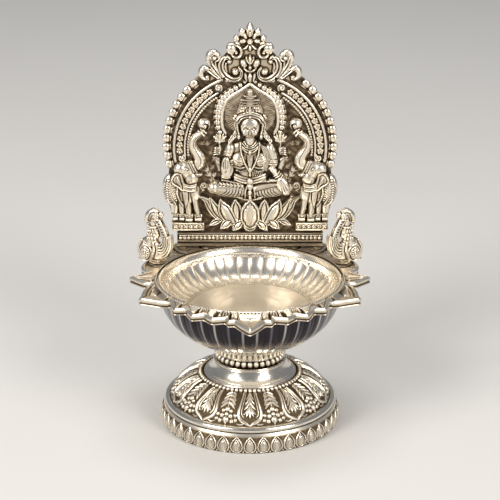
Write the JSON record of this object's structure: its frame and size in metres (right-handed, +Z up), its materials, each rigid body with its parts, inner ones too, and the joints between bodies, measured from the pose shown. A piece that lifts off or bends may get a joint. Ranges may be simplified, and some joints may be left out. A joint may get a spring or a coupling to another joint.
{
  "type": "footed oil lamp",
  "caption": "Footed silver oil lamp with a fluted oil dish, wick spouts, rim birds and a tall relief back plate; the bowl unscrews from the foot.",
  "frame": {"origin": "centre of the foot, on the surface that the lamp stands on", "axes": "+Z up along the foot and bowl axis, front spout towards -Y, back plate on the +Y side, +X to the viewer's right"},
  "size_m": [0.1104, 0.1172, 0.1754],
  "materials": {
    "polished_silver": "polished silver, mirror bright with a warm cast",
    "oxidised_silver": "antiqued silver, buffed high spots and dark brown recesses",
    "plain_silver": "plain dull silver on hidden parts"
  },
  "bodies": {
    "foot": {"foot_band": "oxidised_silver", "foot_base_plate": "plain_silver", "foot_rim_moulding": "polished_silver", "foot_dome": "oxidised_silver", "foot_bead_ring": "oxidised_silver", "foot_collar": "polished_silver", "foot_bush": "plain_silver"},
    "neck_ring": {"neck_bead_ring": "oxidised_silver"},
    "bowl": {"cup_seat": "polished_silver", "bowl_shell": "polished_silver", "oil_dish": "polished_silver", "arch_outer_rib_left": "polished_silver", "arch_outer_rib_right": "polished_silver", "arch_inner_rib_left": "polished_silver", "arch_inner_rib_right": "polished_silver", "halo_rib": "polished_silver", "bowl_stud": "plain_silver", "peacock_nut_left": "plain_silver", "peacock_nut_right": "plain_silver", "plinth_screw_left": "plain_silver", "plinth_screw_right": "plain_silver", "rim_flange": "oxidised_silver", "lip_bead_ring": "oxidised_silver", "plinth": "oxidised_silver", "back_plate": "oxidised_silver", "arch_bead_border_left": "oxidised_silver", "arch_bead_border_right": "oxidised_silver", "arch_flower_border_left": "oxidised_silver", "arch_flower_border_right": "oxidised_silver", "halo_petals_left": "oxidised_silver", "halo_petals_right": "oxidised_silver", "crest_scrollwork": "oxidised_silver", "lotus_seat": "oxidised_silver", "goddess_figure": "oxidised_silver", "elephant_left": "oxidised_silver", "elephant_right": "oxidised_silver", "elephant_block_left": "oxidised_silver", "elephant_block_right": "oxidised_silver", "peacock_left": "oxidised_silver", "peacock_right": "oxidised_silver"}
  },
  "joints": [
    {"name": "ring_lift", "type": "slide", "parent": "foot", "child": "neck_ring", "axis": [0, 0, 1], "range_m": [0, 0.0083]},
    {"name": "bowl_turn", "type": "hinge", "parent": "neck_ring", "child": "bowl", "pos_m": [0, 0, 0.0336], "axis": [0, 0, 1], "range_deg": [0, 1980]}
  ],
  "couplings": [
    {"joint": "ring_lift", "follows": "bowl_turn", "m_per_rad": 0.00023873}
  ]
}
